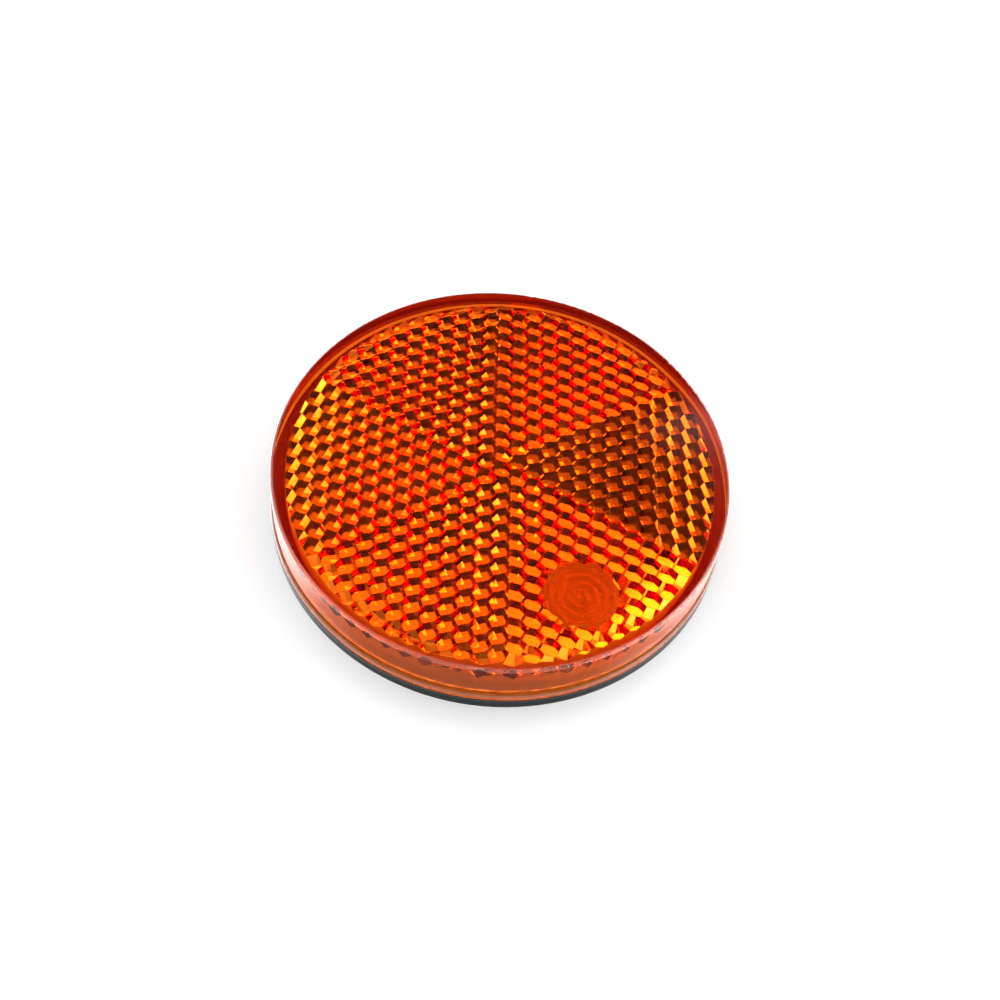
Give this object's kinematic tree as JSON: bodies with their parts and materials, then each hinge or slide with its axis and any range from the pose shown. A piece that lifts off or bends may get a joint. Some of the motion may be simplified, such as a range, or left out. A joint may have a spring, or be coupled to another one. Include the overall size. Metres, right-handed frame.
{
  "type": "push-in reflector",
  "caption": "Round amber retro-reflector with a flat face, clear side wall, black back plate and a split push-in stud on the rear.",
  "frame": {"origin": "centre of the stud's root on the rear seating plane of the back plate", "axes": "+Z out of the reflector's face, away from the stud; +X to the right and -Y towards the camera of the reference view"},
  "size_m": [0.0606, 0.0606, 0.014],
  "materials": {
    "amber_plastic": "polished clear amber acrylic",
    "black_plastic": "satin black moulded ABS"
  },
  "bodies": {
    "root": {"lens": "amber_plastic", "back_plate": "black_plastic"}
  },
  "joints": []
}
